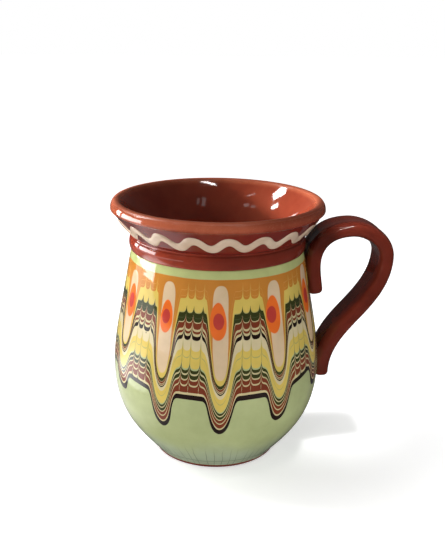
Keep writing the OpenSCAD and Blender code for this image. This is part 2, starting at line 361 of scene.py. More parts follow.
class Graph:
    """One material's nodes, in short calls. A value is a number, a colour or another node's output."""

    def __init__(self, name):
        self.material = bpy.data.materials.new(name)
        self.material.use_nodes = True
        self.tree = self.material.node_tree
        self.shader = self.tree.nodes["Principled BSDF"]
        where = self.tree.nodes.new("ShaderNodeTexCoord")
        self.place = where.outputs["Object"]

    def put(self, socket, value):
        if isinstance(value, bpy.types.NodeSocket):
            self.tree.links.new(value, socket)
        else:
            socket.default_value = value

    def finish(self, **values):
        for name, value in values.items():
            self.put(self.shader.inputs[name.replace("_", " ")], value)
        return self.material

    def math(self, kind, *values):
        node = self.tree.nodes.new("ShaderNodeMath")
        node.operation = kind
        for socket, value in zip(node.inputs, values):
            self.put(socket, value)
        return node.outputs[0]

    def add(self, a, b):
        return self.math("ADD", a, b)

    def sub(self, a, b):
        return self.math("SUBTRACT", a, b)

    def mul(self, a, b):
        return self.math("MULTIPLY", a, b)

    def fit(self, value, low, high, start=0.0, end=1.0, smooth=True):
        """value from low to high becomes start to end, and stays there outside."""
        node = self.tree.nodes.new("ShaderNodeMapRange")
        node.interpolation_type = "SMOOTHSTEP" if smooth else "LINEAR"
        for socket, v in zip(node.inputs, (value, low, high, start, end)):
            self.put(socket, v)
        return node.outputs[0]

    def split(self, vector):
        node = self.tree.nodes.new("ShaderNodeSeparateXYZ")
        self.put(node.inputs[0], vector)
        return node.outputs[0], node.outputs[1], node.outputs[2]

    def noise(self, vector, scale, detail=2.0, rough=0.5):
        """Smooth noise about 0 to 1, as a number and as three."""
        node = self.tree.nodes.new("ShaderNodeTexNoise")
        self.put(node.inputs["Vector"], vector)
        node.inputs["Scale"].default_value = scale
        node.inputs["Detail"].default_value = detail
        node.inputs["Roughness"].default_value = rough
        return node.outputs[0], node.outputs[1]

    def cells(self, vector, scale):
        """Distance to the nearest of the points strewn through space."""
        node = self.tree.nodes.new("ShaderNodeTexVoronoi")
        self.put(node.inputs["Vector"], vector)
        node.inputs["Scale"].default_value = scale
        return node.outputs["Distance"]

    def marks(self, value):
        """Distance to the nearest of the marks strewn along a line, about one to each unit."""
        node = self.tree.nodes.new("ShaderNodeTexVoronoi")
        node.voronoi_dimensions = "1D"
        node.feature = "DISTANCE_TO_EDGE"
        self.put(node.inputs["W"], value)
        node.inputs["Scale"].default_value = 1
        return node.outputs["Distance"]

    def ramp(self, value, stops, mode="CONSTANT", whole=False):
        """Colours by value: stops are pairs of a place, 0 to 1, and a colour. With whole, the alpha too."""
        node = self.tree.nodes.new("ShaderNodeValToRGB")
        node.color_ramp.interpolation = mode
        marks = node.color_ramp.elements
        while len(marks) < len(stops):
            marks.new(1)
        for mark, (place, shade) in zip(marks, stops):
            mark.position = place
            mark.color = shade
        self.put(node.inputs[0], value)
        return node.outputs if whole else node.outputs[0]

    def mix(self, share, a, b, kind="MIX"):
        node = self.tree.nodes.new("ShaderNodeMix")
        node.data_type = "RGBA"
        node.blend_type = kind
        # Inputs 6 and 7 and output 2 are the node's colours
        self.put(node.inputs[0], share)
        self.put(node.inputs[6], a)
        self.put(node.inputs[7], b)
        return node.outputs[2]

    def bump(self, height, strength, distance):
        node = self.tree.nodes.new("ShaderNodeBump")
        node.inputs["Strength"].default_value = strength
        node.inputs["Distance"].default_value = distance
        self.put(node.inputs["Height"], height)
        return node.outputs[0]


# Colours of the slips
PALE_GREEN = colour(178, 186, 134)
GREEN_EDGE = colour(195, 202, 136)
OCHRE = colour(202, 132, 55)
OCHRE_LINE = colour(212, 148, 72)
YELLOW = colour(219, 192, 97)
DARK_GREEN = colour(56, 59, 27)
GREEN_LINE = colour(72, 84, 50)
RED_BROWN = colour(123, 56, 36)
BLACK = colour(34, 20, 16)
CREAM = colour(223, 195, 159)
PALE_CREAM = colour(210, 196, 148)
ORANGE = colour(240, 114, 45)
RED = colour(194, 67, 58)
GREY_LINE = colour(180, 172, 106)
BAND_WHITE = colour(217, 202, 161)
FLANK_BROWN = colour(70, 42, 26)
STROKE_GREEN = colour(132, 128, 70)

# The bands of slip, each from its height in millimetres up to the next, on the flat stretch between two
# drips. The outer line, the lowest of them, ends at LINE_TOP.
LINE_TOP = 39.4
LOW_BANDS = [
    (36, PALE_GREEN), (37.5, BLACK), (LINE_TOP, PALE_CREAM), (40.3, RED_BROWN), (42.6, PALE_CREAM),
    (43.2, RED_BROWN), (44.9, PALE_CREAM), (45.5, DARK_GREEN), (47.0, PALE_CREAM), (47.6, DARK_GREEN),
    (48.8, PALE_GREEN), (49.4, YELLOW), (52,),
]
HIGH_BANDS = [
    (52, YELLOW), (53.1, GREY_LINE), (53.6, YELLOW), (56.0, BAND_WHITE), (60.0, BLACK), (61.6, PALE_CREAM),
    (62.4, RED_BROWN), (63.3, PALE_CREAM), (64.1, RED_BROWN), (66.3, PALE_CREAM), (66.55, DARK_GREEN),
    (67.9, GREEN_LINE), (68.15, DARK_GREEN), (69.9, GREY_LINE), (70.2, YELLOW), (75.0, OCHRE),
    (75.9, OCHRE_LINE), (76.15, OCHRE), (77.9, OCHRE_LINE), (78.15, OCHRE), (80,),
]

# The drips: how many, where the front one is, in degrees, and each one's lift, the size of its eye, and the
# shifts of the eye in the drop and of the red in the eye
DRIPS = 11
FRONT_DRIP = -94.5
DRIP_TABLE = [
    (0.0, 1.00, -0.85, 0.2), (2.3, 1.03, -1.15, -0.6), (4.0, 0.98, -0.5, 0.2), (3.0, 1.00, 0.3, -0.3),
    (1.5, 0.95, 0.5, 0.2), (3.5, 1.04, -0.4, 0.3), (0.8, 0.92, 0.2, -0.2), (2.5, 1.00, -0.7, 0.1),
    (4.0, 0.95, 0.4, 0.3), (6.0, 0.95, 0.2, 0.1), (0.7, 0.88, -0.15, -0.25),
]
# The table is looked up as colours, whose full strength stands for these
LIFT_MOST, SIZE_MOST, SHIFT_MOST = 10, 2, 2

# How fine the drift of the hand is, and by how much of their spacing the drips wander with it
DRIFT_SCALE, WANDER = 60, 0.04
# Where the drips crowd towards the front and where they spread away from it, in degrees, and by how much of
# their spacing
CROWD_AT, CROWD_BY, SPREAD_AT, SPREAD_BY = -150, 0.075, -40, 0.045
# Where the whole pattern climbs, in degrees, and by how many millimetres
CLIMB_AT, CLIMB = -10, 2
# How fast such a change dies away round the pot
LOBE_POWER = 4
# The low bands climb round the sides: by how much, over which heights, and over which cosines of the way
# round
SIDE_RISE, RISE_LOW, RISE_HIGH, RISE_FROM, RISE_TO = 4, 36, 60, 0.8, 0.42

# Heights that the drips draw down: the lowest line, the foot of the white band and the foot of the ochre, on
# the flat and at a drip's middle. The ochre's top stays where it is, and has a soft edge.
LINE_FLAT, KNEE_FLAT, OCHRE_FLAT, OCHRE_TOP, TOP_SOFT = 37.6, 56.0, 75.0, 82.3, 0.15
LINE_DRAWN, KNEE_DRAWN, OCHRE_DRAWN = 23.8, 38.3, 45.4
# Half width of a drip and how round its bottom is, for the low bands and for the high ones, and how steep
# its flanks are
DRIP_W_LOW, DRIP_W_HIGH, ROUND_LOW, ROUND_HIGH, DRIP_STEEP = 4.45, 4.1, 0.54, 0.2, 5
# How much of a drip's edge the high bands leave out, which squares their corners, and from which height on
CORNER_CUT, CUT_FROM = 0.06, 62
# What the outer line gains on a drip's flanks and at its bottom, to be as thick there as on the flat
LINE_ON_FLANK, LINE_AT_BOTTOM = 0.35, 0.25
# The fine lines run together into brown on the flanks of a drip: between which heights, with how soft an
# edge, from which steepness to which, and how far
RUN_LOW, RUN_HIGH, RUN_SOFT = 60.3, 70, 0.3
RUN_FROM, RUN_TO, RUN_MOST = 0.3, 0.8, 0.75

# Where the comb's three teeth ran, as shares of the way from one drip to the next, their lean, and the
# height and the radius that this is measured at
TEETH = (0.361, 0.503, 0.676)
TOOTH_LEAN, TOOTH_Z, TOOTH_R = 0.0015, 60, 38
# The heights where the comb sets in, drags in full, eases and lifts off
COMB_FOOT, COMB_FULL, COMB_EASE, COMB_TOP = 40, 43, 77, 81
# How wide and how high the drag beside a tooth is: a thin cusp, and a wider swell
CUSP_W, CUSP_H, SWELL_W, SWELL_H = 0.2, 1.7, 0.5, 1.2
# The thin strokes that the teeth leave, dark in the pale bands and light in the ochre: from which height to
# which, how strong and in which colour
STROKES = [(51, 59.5, 0.45, STROKE_GREEN), (73.5, 80, 0.4, YELLOW)]
# How far a stroke is at its strongest, how far it reaches to its side, and how softly it ends
STROKE_CORE, STROKE_EDGE, STROKE_SOFT = 0.05, 0.3, 1.5


def lobe(g, angle, degrees):
    """1 in one direction round the pot, falling to 0 at its sides."""
    facing = g.math("COSINE", g.sub(angle, math.radians(degrees)))
    return g.math("POWER", g.math("MAXIMUM", facing, 0), LOBE_POWER)


def between(g, value, low, high, soft):
    """1 from low to high, with soft edges."""
    return g.mul(g.fit(value, low - soft, low + soft), g.fit(value, high - soft, high + soft, 1, 0))


class Belly:
    """Places on the belly: height, angle and radius, with the slow drift of a hand-drawn pattern."""

    def __init__(self, g):
        x, y, z = g.split(g.place)
        self.z = g.mul(z, 1/MM)
        self.radius = g.mul(g.math("SQRT", g.add(g.mul(x, x), g.mul(y, y))), 1/MM)
        self.angle = g.math("ARCTAN2", y, x)
        drift = g.noise(g.place, DRIFT_SCALE)[1]
        self.drift = [g.sub(v, 0.5) for v in g.split(drift)]
        self.find_levels(g)
        self.find_drip(g)

    def find_levels(self, g):
        """The heights that the green edge, the drops and the bands are drawn by."""
        self.edge_level = g.add(self.z, self.drift[2])
        self.level = g.sub(self.edge_level, g.mul(lobe(g, self.angle, CLIMB_AT), CLIMB))
        facing = g.math("COSINE", g.sub(self.angle, math.radians(FRONT_DRIP)))
        rise = g.mul(g.fit(facing, RISE_FROM, RISE_TO, 0, SIDE_RISE, smooth=False),
                     g.fit(self.level, RISE_LOW, RISE_HIGH, 1, 0, smooth=False))
        self.band_level = g.sub(self.level, rise)

    def find_drip(self, g):
        """The nearest drip, the way across from its middle, and its row of the table."""
        pitch = math.tau/DRIPS
        crowd = g.mul(lobe(g, self.angle, CROWD_AT), CROWD_BY)
        spread = g.mul(lobe(g, self.angle, SPREAD_AT), SPREAD_BY)
        wander = g.sub(g.mul(self.drift[0], WANDER), g.add(crowd, spread))
        self.turns = g.add(g.mul(g.sub(self.angle, math.radians(FRONT_DRIP)), 1/pitch), wander)
        nearest = g.math("ROUND", self.turns)
        self.across = g.mul(g.mul(g.sub(self.turns, nearest), pitch), self.radius)
        place = g.math("FLOORED_MODULO", nearest, DRIPS)
        picked = g.ramp(g.mul(g.add(place, 0.5), 1/DRIPS), [
            (i/DRIPS, (lift/LIFT_MOST, size/SIZE_MOST, shift/SHIFT_MOST/2 + 0.5, red/SHIFT_MOST/2 + 0.5))
            for i, (lift, size, shift, red) in enumerate(DRIP_TABLE)], whole=True)
        lift, size, shift = g.split(picked[0])
        self.lift = g.mul(lift, LIFT_MOST)
        self.eye_size = g.mul(size, SIZE_MOST)
        self.eye_shift = g.mul(g.sub(shift, 0.5), 2*SHIFT_MOST)
        self.red_shift = g.mul(g.sub(picked[1], 0.5), 2*SHIFT_MOST)


def drawn_share(g, at, width, roundness):
    """1 at a drip's middle, falling to 0 on the flat."""
    away = g.math("DIVIDE", g.math("ABSOLUTE", at.across), width)
    bottom, flank = g.math("POWER", away, 2), g.math("POWER", away, DRIP_STEEP)
    fall = g.add(g.mul(bottom, roundness), g.mul(flank, g.sub(1, roundness)))
    return g.math("EXPONENT", g.mul(fall, -1))


def flat_height(g, at, share):
    """The height on the flat of what a drip draws down to here: three stretches, squeezed or drawn out."""
    def stretch(flat, drawn, shrink):
        fall = g.mul(share, g.sub(flat - drawn, at.lift))
        risen = g.add(g.sub(at.band_level, flat), fall)
        return g.add(flat, g.math("DIVIDE", risen, g.sub(1, g.mul(share, shrink))))
    low = stretch(KNEE_FLAT, KNEE_DRAWN, 1 - (KNEE_DRAWN - LINE_DRAWN)/(KNEE_FLAT - LINE_FLAT))
    mid = stretch(KNEE_FLAT, KNEE_DRAWN, 1 - (OCHRE_DRAWN - KNEE_DRAWN)/(OCHRE_FLAT - KNEE_FLAT))
    growth = g.mul(g.sub(at.lift, OCHRE_FLAT - OCHRE_DRAWN), 1/(OCHRE_TOP - OCHRE_FLAT))
    high = stretch(OCHRE_FLAT, OCHRE_DRAWN, growth)
    return g.math("MINIMUM", g.math("MAXIMUM", low, mid), high)


def band_height(g, at):
    """The height on the flat of the band that is seen here, drawn down by the drips and up by the comb, and
    the drips' share in it."""
    first = flat_height(g, at, drawn_share(g, at, DRIP_W_LOW, ROUND_LOW))
    width = g.fit(first, LINE_FLAT, OCHRE_FLAT, DRIP_W_LOW, DRIP_W_HIGH, smooth=False)
    roundness = g.fit(first, KNEE_FLAT, OCHRE_FLAT, ROUND_LOW, ROUND_HIGH, smooth=False)
    cut = g.fit(first, CUT_FROM, OCHRE_FLAT, 0, CORNER_CUT)
    left_over = g.math("MAXIMUM", g.sub(drawn_share(g, at, width, roundness), cut), 0)
    share = g.math("DIVIDE", left_over, g.sub(1, cut))
    reach = g.mul(g.fit(at.level, COMB_FOOT, COMB_FULL), g.fit(at.level, COMB_EASE, COMB_TOP, 1, 0))
    return g.sub(flat_height(g, at, share), g.mul(comb_drag(g, at), reach)), share


def tooth_gap(g, at):
    """Distance to the nearest stroke of the comb, in millimetres."""
    part = g.math("FLOORED_MODULO", g.sub(at.turns, g.mul(g.sub(at.z, TOOTH_Z), TOOTH_LEAN)), 1)
    gaps = [g.math("ABSOLUTE", g.sub(part, share)) for share in TEETH]
    least = g.math("MINIMUM", g.math("MINIMUM", gaps[0], gaps[1]), gaps[2])
    return g.mul(least, math.tau*TOOTH_R/DRIPS)


def comb_drag(g, at):
    """How far the comb drags the bands up: a thin cusp on a wider swell."""
    gap = tooth_gap(g, at)
    cusp = g.mul(g.math("EXPONENT", g.mul(gap, -1/CUSP_W)), CUSP_H)
    swell = g.mul(g.math("EXPONENT", g.mul(gap, -1/SWELL_W)), SWELL_H)
    return g.add(cusp, swell)


def stripes(g, bands, height):
    """The colour of the bands at a height on the flat."""
    low, high = bands[0][0], bands[-1][0]
    share = g.mul(g.sub(height, low), 1/(high - low))
    return g.ramp(share, [((b[0] - low)/(high - low), b[1]) for b in bands[:-1]])


def draw_bands(g, at):
    """The bands with the outer line, their run-together flanks, the comb's strokes and the green edge."""
    height, share = band_height(g, at)
    steep = g.mul(g.mul(share, g.sub(1, share)), 4)
    thicker = g.add(g.mul(steep, LINE_ON_FLANK), g.mul(share, LINE_AT_BOTTOM))
    line = g.mul(g.math("MAXIMUM", g.sub(LINE_TOP, height), 0), thicker)
    is_high = g.math("GREATER_THAN", height, HIGH_BANDS[0][0])
    shade = g.mix(is_high, stripes(g, LOW_BANDS, g.add(height, line)), stripes(g, HIGH_BANDS, height))
    on_flank = g.fit(steep, RUN_FROM, RUN_TO, 0, RUN_MOST)
    run = g.mul(between(g, height, RUN_LOW, RUN_HIGH, RUN_SOFT), on_flank)
    shade = g.mix(run, shade, FLANK_BROWN)
    gap = tooth_gap(g, at)
    for low, high, strength, stroke in STROKES:
        thin = g.fit(gap, STROKE_CORE, STROKE_EDGE, strength, 0)
        shade = g.mix(g.mul(thin, between(g, at.level, low, high, STROKE_SOFT)), shade, stroke)
    return g.mix(g.fit(at.edge_level, OCHRE_TOP - TOP_SOFT, OCHRE_TOP + TOP_SOFT), shade, GREEN_EDGE)


# The cream drop: its ends, its half width, how square its sides, its foot and its top are, and how far from
# its middle the foot's form turns into the top's
DROP_TOP, DROP_FOOT, DROP_W = 80.2, 45.6, 2.85
DROP_SIDE_POWER, DROP_FOOT_POWER, DROP_TOP_POWER, DROP_TURN = 2.5, 3.5, 8, 2
# The eye: its height, its share of the drip's lift, how egg-shaped it is, and half the width and half the
# height of its orange and of its red
EYE_Z, EYE_LIFT, EYE_EGG = 67.4, 0.2, 0.02
ORANGE_W, ORANGE_H, RED_W, RED_H = 3.05, 6.9, 2.0, 3.05
# How soft their edges are
DROP_SOFT, ORANGE_SOFT, RED_SOFT = 0.06, 0.07, 0.12


def oval(g, x, z, half_w, half_h):
    """Below 1 inside an oval about the origin."""
    return g.add(g.math("POWER", g.math("ABSOLUTE", g.mul(x, 1/half_w)), 2),
                 g.math("POWER", g.math("ABSOLUTE", g.mul(z, 1/half_h)), 2))


def filled(g, form, soft):
    """1 where a form is below 1, with a soft edge."""
    return g.fit(form, 1 - soft, 1 + soft, 1, 0)


def draw_drop(g, at, shade):
    """The cream drop in each drip, with its orange and red eye."""
    half = g.sub((DROP_TOP - DROP_FOOT)/2, g.mul(at.lift, 0.5))
    up = g.sub(at.level, g.add((DROP_TOP + DROP_FOOT)/2, g.mul(at.lift, 0.5)))
    rise = g.math("ABSOLUTE", g.math("DIVIDE", up, half))
    side = g.math("ABSOLUTE", g.mul(at.across, 1/DROP_W))
    end_power = g.fit(up, -DROP_TURN, DROP_TURN, DROP_FOOT_POWER, DROP_TOP_POWER)
    drop = g.add(g.math("POWER", side, DROP_SIDE_POWER), g.math("POWER", rise, end_power))
    shade = g.mix(filled(g, drop, DROP_SOFT), shade, CREAM)
    x = g.math("DIVIDE", g.sub(at.across, at.eye_shift), at.eye_size)
    z = g.math("DIVIDE", g.sub(at.level, g.add(EYE_Z, g.mul(at.lift, EYE_LIFT))), at.eye_size)
    egg = oval(g, g.mul(x, g.add(1, g.mul(z, EYE_EGG))), z, ORANGE_W, ORANGE_H)
    shade = g.mix(filled(g, egg, ORANGE_SOFT), shade, ORANGE)
    pupil = oval(g, g.sub(x, at.red_shift), z, RED_W, RED_H)
    return g.mix(filled(g, pupil, RED_SOFT), shade, RED)


# Grey glaze over the foot: its colour, the heights that it fades over, its strength and its drift
FOOT_GREY = colour(178, 190, 168)
GREY_LOW, GREY_HIGH, GREY_MOST, GREY_DRIFT = 5, 19, 0.8, 8
# Upright cracks in it: their colour, about how many go round, their width as a share of their spacing, how
# they wander and lean, the heights that they fade over, their strength and the drift of their ends
CRACK_GREY = colour(92, 100, 84)
CRACKS, CRACK_W, CRACK_WANDER, CRACK_LEAN = 64, 0.08, 0.8, 0.02
CRACK_LOW, CRACK_HIGH, CRACK_MOST, CRACK_DRIFT = 5, 16, 0.6, 16
# The ring round it: its height, its drift, its core, its edge and its strength
RING_Z, RING_DRIFT, RING_CORE, RING_EDGE, RING_MOST = 4.6, 1.5, 0.08, 0.28, 0.5
# Clouds in the glaze, as what they take off the colour, and the iron specks: their colour, how many there
# are, their core, their edge and their strength
VEIL, CLEAR = colour(232, 232, 228), colour(255, 255, 255)
SPECK_BROWN = colour(70, 50, 36)
SPECK_SCALE, SPECK_CORE, SPECK_EDGE, SPECK_MOST = 95, 0.02, 0.04, 0.7

# The noise that clouds a glaze and the noise that ripples it: scale, detail and roughness
COAT_CLOUD, CLAY_CLOUD, TRAIL_CLOUD = (90, 4, 0.6), (70, 5, 0.62), (120, 4, 0.6)
COAT_RIPPLE, CLAY_RIPPLE = (160, 2), (240, 3)
# The ripple's strength, and its depth in metres
COAT_BUMP, CLAY_BUMP, TRAIL_BUMP = (0.12, 0.0004), (0.05, 0.0004), (0.1, 0.0003)
# How rough a glaze is: from one value of its cloud to another, from one roughness to another
COAT_ROUGH, POT_ROUGH = (0.2, 0.8, 0.03, 0.07), (0.25, 0.75, 0.03, 0.08)
STRAP_ROUGH, TRAIL_ROUGH = (0.25, 0.75, 0.03, 0.06), (0.25, 0.75, 0.1, 0.2)


def craze(g, at):
    """Fine cracks near the foot: upright ones, and one ring."""
    wander = g.add(g.mul(at.drift[1], CRACK_WANDER), g.mul(at.z, CRACK_LEAN))
    around = g.add(g.mul(at.angle, CRACKS/math.tau), wander)
    fade = g.fit(g.add(at.z, g.mul(at.drift[0], CRACK_DRIFT)), CRACK_LOW, CRACK_HIGH, CRACK_MOST, 0)
    upright = g.mul(g.fit(g.marks(around), 0, CRACK_W, 1, 0), fade)
    off_ring = g.math("ABSOLUTE", g.sub(g.add(at.z, g.mul(at.drift[2], RING_DRIFT)), RING_Z))
    return g.math("MAXIMUM", upright, g.fit(off_ring, RING_CORE, RING_EDGE, RING_MOST, 0))


def slip_material():
    """The poured slip with its drip pattern, under a cloudy glaze that is grey and crazed near the foot."""
    g = Graph("patterned_slip")
    at = Belly(g)
    shade = draw_drop(g, at, draw_bands(g, at))
    grey = g.fit(g.add(at.z, g.mul(at.drift[1], GREY_DRIFT)), GREY_LOW, GREY_HIGH, GREY_MOST, 0)
    shade = g.mix(grey, shade, FOOT_GREY)
    shade = g.mix(craze(g, at), shade, CRACK_GREY)
    cloud = g.noise(g.place, *COAT_CLOUD)[0]
    veil = g.ramp(cloud, [(0.25, VEIL), (0.75, CLEAR)], "LINEAR")
    shade = g.mix(1.0, shade, veil, "MULTIPLY")
    specks = g.fit(g.cells(g.place, SPECK_SCALE), SPECK_CORE, SPECK_EDGE, SPECK_MOST, 0)
    shade = g.mix(specks, shade, SPECK_BROWN)
    ripple = g.noise(g.place, *COAT_RIPPLE)[0]
    return g.finish(Base_Color=shade, Roughness=g.fit(cloud, *COAT_ROUGH),
                    Normal=g.bump(ripple, *COAT_BUMP))


# Colours of the clay and of the trailed cream under their glaze, each dark and light, and of bare clay and
# its grain
# Painted light and shade on the roll: one glaze, lighter on its left where the light falls and darker on its
# right
ROLL_SHADED_RIGHT = colour(97, 34, 24), colour(123, 47, 33)
ROLL_PAINTED_LIT = colour(130, 48, 33), colour(161, 65, 44)
FLARE_CLAY = colour(96, 29, 23), colour(121, 40, 31)
STRAP_CLAY = colour(81, 29, 19), colour(103, 38, 26)
# The inside is the same clay as the roll, painted lighter for the light that falls into the mouth
INSIDE_LIT_CLAY = colour(137, 56, 37), colour(156, 71, 48)
LIP_CLAY = colour(167, 85, 57), colour(186, 99, 70)
TRAIL_CREAM = colour(190, 163, 139), colour(212, 190, 167)
CLAY_BARE = colour(112, 46, 36)
CLAY_GRAIN = colour(214, 146, 112)
# The cloud's values that a glaze is darkest and lightest at
CLOUD_DARK, CLOUD_LIGHT, TRAIL_LIGHT = 0.3, 0.72, 0.7

# Painted shade where the strap springs from the neck, under the lip: the colour, the place, the distances
# that it fades over, and its strength
ROOT_SHADE = colour(30, 10, 6)
ROOT_X, ROOT_Z, ROOT_NEAR, ROOT_FAR, ROOT_MOST = 42, 89, 2, 9, 0.6


def glaze(g, cloud, colours, light=CLOUD_LIGHT):
    return g.ramp(cloud, [(CLOUD_DARK, colours[0]), (light, colours[1])], "LINEAR")


def strap_material():
    """Red clay under clear glaze, with painted shade at the neck."""
    g = Graph("glazed_strap")
    x, _, z = (g.mul(v, 1/MM) for v in g.split(g.place))
    cloud = g.noise(g.place, *CLAY_CLOUD)[0]
    aside, above = (g.math("POWER", g.sub(a, b), 2) for a, b in ((x, ROOT_X), (z, ROOT_Z)))
    # Painted shade at the strap's root, under the lip
    root = g.fit(g.math("SQRT", g.add(aside, above)), ROOT_NEAR, ROOT_FAR, ROOT_MOST, 0)
    shade = g.mix(root, glaze(g, cloud, STRAP_CLAY), ROOT_SHADE)
    ripple = g.noise(g.place, *CLAY_RIPPLE)[0]
    return g.finish(Base_Color=shade, Roughness=g.fit(cloud, *STRAP_ROUGH),
                    Normal=g.bump(ripple, *CLAY_BUMP))


# Where the pot's colours change, in millimetres, each from and to: the roll's painted light on its left into
# its painted shade on its right, the groove into the flare, and the bare foot into what is glazed
ROLL_LIGHT_FADE = -18, 4
FLARE_FADE = FLARE_Z - 0.6, FLARE_Z + 0.2
FOOT_FADE = 0.9, 1.6
# The inside: its edge at one height, how much wider it gets from there up, and the height below which no
# other clay is seen
THROAT_FADE, THROAT_Z, THROAT_WIDENS = (31, 32), 88, 0.6
HIDDEN_FADE = 83.5, 84.5
# The lip's paler clay, how much higher it starts inside, and where the glaze is wiped thin
LIP_FADE, LIP_HIGHER, WIPED_FADE = (101.2, 103), 1.9, (104.2, 105)
# Painted shade: towards the front right, away from the light, the lip is darker
LIP_SHADE_FADE, LIP_SHADE_MOST = (28, 41), 0.5
# The grain of bare and thinly glazed clay: how fine, its core, its edge and its strength, and how much
# rougher such clay is
GRAIN_SCALE, GRAIN_CORE, GRAIN_EDGE, GRAIN_MOST = 1400, 0.1, 0.32, 0.2
FOOT_ROUGHER, WIPED_ROUGHER = 0.5, 0.3
# Spacing of the throwing rings inside the pot, how far they wander and how much they stand out
RING_PITCH, RING_WANDER, RING_RISE = 2.6, 2, 0.03


def pot_clay(g, cloud, x, z, inside):
    """The glazed clay of the roll, with painted light on its left and painted shade on its right, of the
    flare, and of the inside, which is painted lighter.
    """
    # Painted light on the roll's left, painted shade on its right
    roll = g.mix(g.fit(x, *ROLL_LIGHT_FADE), glaze(g, cloud, ROLL_PAINTED_LIT), glaze(g, cloud, ROLL_SHADED_RIGHT))
    shade = g.mix(g.fit(z, *FLARE_FADE), roll, glaze(g, cloud, FLARE_CLAY))
    # The inside's clay, with painted light
    return g.mix(inside, shade, glaze(g, cloud, INSIDE_LIT_CLAY))


def pot_material():
    """Red clay under clear glaze, browner on the flare, wiped thin on the lip and left off the foot, with
    painted light and shade on the roll, painted light inside and painted shade on the lip's front right.
    """
    g = Graph("glazed_clay")
    x, y, z = (g.mul(v, 1/MM) for v in g.split(g.place))
    radius = g.math("SQRT", g.add(g.mul(x, x), g.mul(y, y)))
    cloud = g.noise(g.place, *CLAY_CLOUD)[0]
    within = g.fit(g.sub(radius, g.mul(g.sub(z, THROAT_Z), THROAT_WIDENS)), *THROAT_FADE, 1, 0)
    inside = g.math("MAXIMUM", within, g.fit(z, *HIDDEN_FADE, 1, 0))
    shade = pot_clay(g, cloud, x, z, inside)

    # The lip and the foot
    uneven = g.add(z, cloud)
    lip = g.fit(g.sub(uneven, g.mul(inside, LIP_HIGHER)), *LIP_FADE)
    wiped = g.fit(uneven, *WIPED_FADE)
    foot = g.fit(z, *FOOT_FADE, 1, 0)
    # Painted shade on the lip towards the front right
    lip_shade = g.fit(g.mul(g.sub(x, y), math.sqrt(0.5)), *LIP_SHADE_FADE, 1, LIP_SHADE_MOST)
    shade = g.mix(g.mul(lip, lip_shade), shade, glaze(g, cloud, LIP_CLAY))
    shade = g.mix(foot, shade, CLAY_BARE)
    grain = g.fit(g.cells(g.place, GRAIN_SCALE), GRAIN_CORE, GRAIN_EDGE, GRAIN_MOST, 0)
    shade = g.mix(g.mul(grain, g.add(lip, foot)), shade, CLAY_GRAIN)
    rougher = g.add(g.mul(foot, FOOT_ROUGHER), g.mul(wiped, WIPED_ROUGHER))

    # Ripples all over, and throwing rings inside
    ripple = g.noise(g.place, *CLAY_RIPPLE)[0]
    swing = g.math("SINE", g.mul(g.add(z, g.mul(cloud, RING_WANDER)), math.tau/RING_PITCH))
    rings = g.mul(swing, g.mul(inside, RING_RISE))
    return g.finish(Base_Color=shade, Roughness=g.add(g.fit(cloud, *POT_ROUGH), rougher),
                    Normal=g.bump(g.add(ripple, rings), *CLAY_BUMP))


def wave_material():
    """Cream slip under clear glaze."""
    g = Graph("cream_trail")
    cloud = g.noise(g.place, *TRAIL_CLOUD)[0]
    shade = glaze(g, cloud, TRAIL_CREAM, TRAIL_LIGHT)
    return g.finish(Base_Color=shade, Roughness=g.fit(cloud, *TRAIL_ROUGH),
                    Normal=g.bump(cloud, *TRAIL_BUMP))


# The photo's view: the camera's distance and height in metres and its turn round the mug in degrees, how
# far it looks aside, down and askew in radians, its lens, and how near it sees
CAMERA_OUT, CAMERA_Z, CAMERA_TURN = 0.315, 0.1747, -6.45
CAMERA_ASIDE, CAMERA_DOWN, CAMERA_ROLL, CAMERA_LENS, CAMERA_NEAR = 0.007, 0.318, 0.016, 52.73, 0.01


def place_camera():
    camera = bpy.data.cameras.new("photo_view")
    camera.lens = CAMERA_LENS
    camera.clip_start = CAMERA_NEAR
    ob = bpy.data.objects.new("photo_view", camera)
    at = heading(-90 + CAMERA_TURN)*CAMERA_OUT
    aside = math.radians(CAMERA_TURN) - CAMERA_ASIDE
    ob.matrix_world = (Matrix.Translation((at.x, at.y, CAMERA_Z)) @ Matrix.Rotation(aside, 4, "Z")
                       @ Matrix.Rotation(math.pi/2 - CAMERA_DOWN, 4, "X")
                       @ Matrix.Rotation(CAMERA_ROLL, 4, "Z"))
    bpy.context.scene.collection.objects.link(ob)
    bpy.context.scene.camera = ob


def hang(light, at, aim):
    """A light put in its place and pointed."""
    ob = bpy.data.objects.new(light.name, light)
    ob.location = at
    ob.rotation_euler = (aim - at).to_track_quat("-Z", "Y").to_euler()
    bpy.context.scene.collection.objects.link(ob)
    return ob


def area_light(name, at, aim, width, height, power):
    """A soft rectangle of light."""
    light = bpy.data.lights.new(name, "AREA")
    light.shape = "RECTANGLE"
    light.size, light.size_y = width, height
    light.energy = power
    return hang(light, at, aim)


# What lights the mug and shows in its glaze, each by its turn round the mug and its height above the neck,
# how wide and how tall it looks from there, all in degrees, its distance in metres and how bright it is
PANES = [
    # A window on the left, in two parts
    (142, 5.25, 8, 19.5, 0.45, 12), (166, 5.25, 32, 19.5, 0.45, 12),
    # Two bright panes above it
    (158.5, 41.5, 14, 6, 0.45, 50), (165, 32, 9, 3.5, 0.45, 50),
    # The window's pale sill, and a thin lamp high in front
    (182, -8, 80, 6, 0.4, 1.8), (-75, 65.5, 14, 0.5, 0.45, 80),
    # Faint panes in front, for the pale marks inside the cup
    (-71, 46, 5, 10, 0.45, 1.2), (-61, 46, 3, 8, 0.45, 1), (-146, 41, 7, 4, 0.45, 2),
    (-157, 38, 6, 3, 0.45, 2), (-156, 51, 10, 0.6, 0.45, 8),
]
NECK_MIDDLE = vec(0, 0, 0.084)


